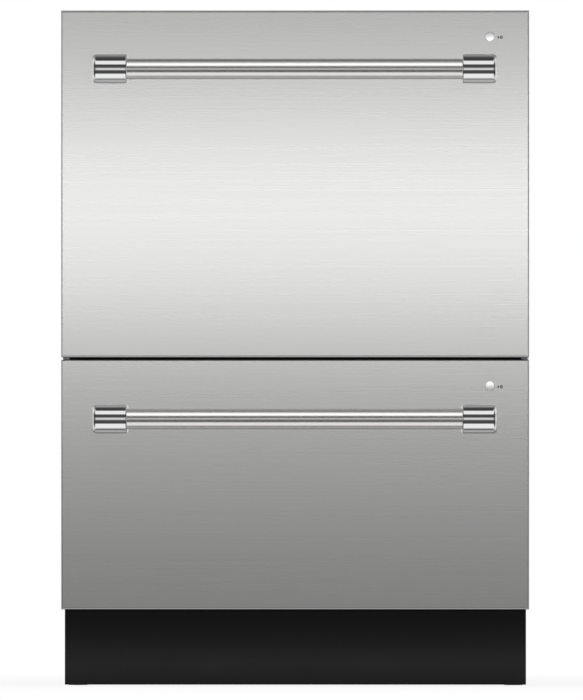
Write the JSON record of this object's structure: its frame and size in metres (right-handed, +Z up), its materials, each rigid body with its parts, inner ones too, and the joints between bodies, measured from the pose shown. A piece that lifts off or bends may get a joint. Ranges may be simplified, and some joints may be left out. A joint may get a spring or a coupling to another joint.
{
  "type": "double drawer dishwasher",
  "caption": "Built-in dishwasher with two stacked drawers, brushed steel fronts, round bar handles, pull-out wash tubs with lowering lids, racks and a black kick panel.",
  "frame": {"origin": "middle of the footprint on the floor, measured over the whole unit with its handles", "axes": "+Z up, the drawer fronts face -Y, +X to the right as seen from the front"},
  "size_m": [0.599, 0.6379, 0.864],
  "materials": {
    "brushed_steel": "fine horizontal brushing",
    "polished_steel": "mirror polished",
    "satin_steel": "satin",
    "galvanised": "galvanised sheet",
    "zinc_steel": "zinc plated",
    "black_steel": "satin black",
    "black_plastic": "moulded",
    "gloss_black": "glossy touch strip",
    "tub_plastic": "moulded",
    "lid_plastic": "moulded",
    "white_plastic": "moulded",
    "grey_plastic": "moulded",
    "coated_wire": "plastic coated steel wire",
    "seal_rubber": "soft",
    "motor_case": "satin"
  },
  "bodies": {
    "chassis": {"chassis_sides": "galvanised", "top_panel": "galvanised", "rear_panel": "galvanised", "base_pan": "galvanised", "middle_rail": "black_steel", "kick_panel": "black_steel", "fixing_brackets": "zinc_steel", "inlet_valve": "white_plastic", "drain_spigots": "grey_plastic", "cable_gland": "black_plastic", "fixed_rails": "zinc_steel", "lid_actuators": "grey_plastic"},
    "foot_front_left": {"foot_front_left": "black_plastic"},
    "foot_front_right": {"foot_front_right": "black_plastic"},
    "foot_rear_left": {"foot_rear_left": "black_plastic"},
    "foot_rear_right": {"foot_rear_right": "black_plastic"},
    "upper_drawer": {"upper_front_skin": "brushed_steel", "upper_front_carrier": "black_plastic", "upper_control_strip": "gloss_black", "upper_handle_bar": "satin_steel", "upper_handle_ends": "polished_steel", "upper_tub": "tub_plastic", "upper_runner_inner": "zinc_steel", "upper_rack": "coated_wire", "upper_cutlery_basket": "grey_plastic", "upper_filter_plate": "grey_plastic", "upper_wash_motor": "motor_case", "upper_dispenser_body": "tub_plastic"},
    "upper_start_button": {"upper_start_button": "polished_steel"},
    "upper_runner_middle": {"upper_runner_middle": "zinc_steel"},
    "upper_lid": {"upper_lid": "lid_plastic", "upper_lid_seal": "seal_rubber"},
    "upper_lid_yokes": {"upper_lid_yokes": "white_plastic"},
    "upper_fold_tines": {"upper_fold_tines": "coated_wire"},
    "upper_cup_rack": {"upper_cup_rack": "coated_wire"},
    "upper_spray_arm": {"upper_spray_arm": "grey_plastic"},
    "upper_pump_rotor": {"upper_pump_rotor": "grey_plastic"},
    "upper_dispenser_door": {"upper_dispenser_door": "lid_plastic"},
    "lower_drawer": {"lower_front_skin": "brushed_steel", "lower_front_carrier": "black_plastic", "lower_control_strip": "gloss_black", "lower_handle_bar": "satin_steel", "lower_handle_ends": "polished_steel", "lower_tub": "tub_plastic", "lower_runner_inner": "zinc_steel", "lower_rack": "coated_wire", "lower_cutlery_basket": "grey_plastic", "lower_filter_plate": "grey_plastic", "lower_wash_motor": "motor_case", "lower_dispenser_body": "tub_plastic"},
    "lower_start_button": {"lower_start_button": "polished_steel"},
    "lower_runner_middle": {"lower_runner_middle": "zinc_steel"},
    "lower_lid": {"lower_lid": "lid_plastic", "lower_lid_seal": "seal_rubber"},
    "lower_lid_yokes": {"lower_lid_yokes": "white_plastic"},
    "lower_fold_tines": {"lower_fold_tines": "coated_wire"},
    "lower_cup_rack": {"lower_cup_rack": "coated_wire"},
    "lower_spray_arm": {"lower_spray_arm": "grey_plastic"},
    "lower_pump_rotor": {"lower_pump_rotor": "grey_plastic"},
    "lower_dispenser_door": {"lower_dispenser_door": "lid_plastic"}
  },
  "joints": [
    {"name": "foot_front_left_level", "type": "slide", "parent": "chassis", "child": "foot_front_left", "axis": [0, 0, -1], "range_m": [0, 0.06]},
    {"name": "foot_front_right_level", "type": "slide", "parent": "chassis", "child": "foot_front_right", "axis": [0, 0, -1], "range_m": [0, 0.06]},
    {"name": "foot_rear_left_level", "type": "slide", "parent": "chassis", "child": "foot_rear_left", "axis": [0, 0, -1], "range_m": [0, 0.06]},
    {"name": "foot_rear_right_level", "type": "slide", "parent": "chassis", "child": "foot_rear_right", "axis": [0, 0, -1], "range_m": [0, 0.06]},
    {"name": "upper_drawer_slide", "type": "slide", "parent": "chassis", "child": "upper_drawer", "axis": [0, -1, 0], "range_m": [0, 0.5]},
    {"name": "upper_runner_slide", "type": "slide", "parent": "chassis", "child": "upper_runner_middle", "axis": [0, -1, 0], "range_m": [0, 0.25]},
    {"name": "upper_button_press", "type": "slide", "parent": "upper_drawer", "child": "upper_start_button", "axis": [0, 1, 0], "range_m": [0, 0.0012], "stiffness_N_per_m": 900, "springref_m": -0.0006},
    {"name": "upper_lid_lower", "type": "slide", "parent": "chassis", "child": "upper_lid", "axis": [0, 0, 1], "range_m": [-0.01, 0]},
    {"name": "upper_yoke_slide", "type": "slide", "parent": "chassis", "child": "upper_lid_yokes", "axis": [0, 1, 0], "range_m": [0, 0.02]},
    {"name": "upper_tines_fold", "type": "hinge", "parent": "upper_drawer", "child": "upper_fold_tines", "pos_m": [0.1035, 0.091, 0.52345], "axis": [1, 0, 0], "range_deg": [0, 85]},
    {"name": "upper_cup_rack_flip", "type": "hinge", "parent": "upper_drawer", "child": "upper_cup_rack", "pos_m": [-0.2472, 0.018, 0.698], "axis": [0, -1, 0], "range_deg": [0, 88]},
    {"name": "upper_spray_spin", "type": "hinge", "parent": "upper_drawer", "child": "upper_spray_arm", "pos_m": [0, 0.0179, 0.493], "axis": [0, 0, 1], "continuous": true},
    {"name": "upper_pump_spin", "type": "hinge", "parent": "upper_drawer", "child": "upper_pump_rotor", "pos_m": [0, 0.0179, 0.455], "axis": [0, 0, 1], "continuous": true},
    {"name": "upper_dispenser_open", "type": "hinge", "parent": "upper_drawer", "child": "upper_dispenser_door", "pos_m": [-0.0275, -0.2158, 0.709], "axis": [-1, 0, 0], "range_deg": [0, 90]},
    {"name": "lower_drawer_slide", "type": "slide", "parent": "chassis", "child": "lower_drawer", "axis": [0, -1, 0], "range_m": [0, 0.5]},
    {"name": "lower_runner_slide", "type": "slide", "parent": "chassis", "child": "lower_runner_middle", "axis": [0, -1, 0], "range_m": [0, 0.25]},
    {"name": "lower_button_press", "type": "slide", "parent": "lower_drawer", "child": "lower_start_button", "axis": [0, 1, 0], "range_m": [0, 0.0012], "stiffness_N_per_m": 900, "springref_m": -0.0006},
    {"name": "lower_lid_lower", "type": "slide", "parent": "chassis", "child": "lower_lid", "axis": [0, 0, 1], "range_m": [-0.01, 0]},
    {"name": "lower_yoke_slide", "type": "slide", "parent": "chassis", "child": "lower_lid_yokes", "axis": [0, 1, 0], "range_m": [0, 0.02]},
    {"name": "lower_tines_fold", "type": "hinge", "parent": "lower_drawer", "child": "lower_fold_tines", "pos_m": [0.1035, 0.091, 0.19995], "axis": [1, 0, 0], "range_deg": [0, 85]},
    {"name": "lower_cup_rack_flip", "type": "hinge", "parent": "lower_drawer", "child": "lower_cup_rack", "pos_m": [-0.2472, 0.018, 0.251], "axis": [0, -1, 0], "range_deg": [0, 88]},
    {"name": "lower_spray_spin", "type": "hinge", "parent": "lower_drawer", "child": "lower_spray_arm", "pos_m": [0, 0.0179, 0.1695], "axis": [0, 0, 1], "continuous": true},
    {"name": "lower_pump_spin", "type": "hinge", "parent": "lower_drawer", "child": "lower_pump_rotor", "pos_m": [0, 0.0179, 0.1315], "axis": [0, 0, 1], "continuous": true},
    {"name": "lower_dispenser_open", "type": "hinge", "parent": "lower_drawer", "child": "lower_dispenser_door", "pos_m": [-0.0275, -0.2158, 0.262], "axis": [-1, 0, 0], "range_deg": [0, 90]}
  ],
  "couplings": [
    {"joint": "upper_runner_slide", "follows": "upper_drawer_slide", "ratio": 0.5},
    {"joint": "upper_yoke_slide", "follows": "upper_lid_lower", "ratio": -2},
    {"joint": "lower_runner_slide", "follows": "lower_drawer_slide", "ratio": 0.5},
    {"joint": "lower_yoke_slide", "follows": "lower_lid_lower", "ratio": -2}
  ]
}
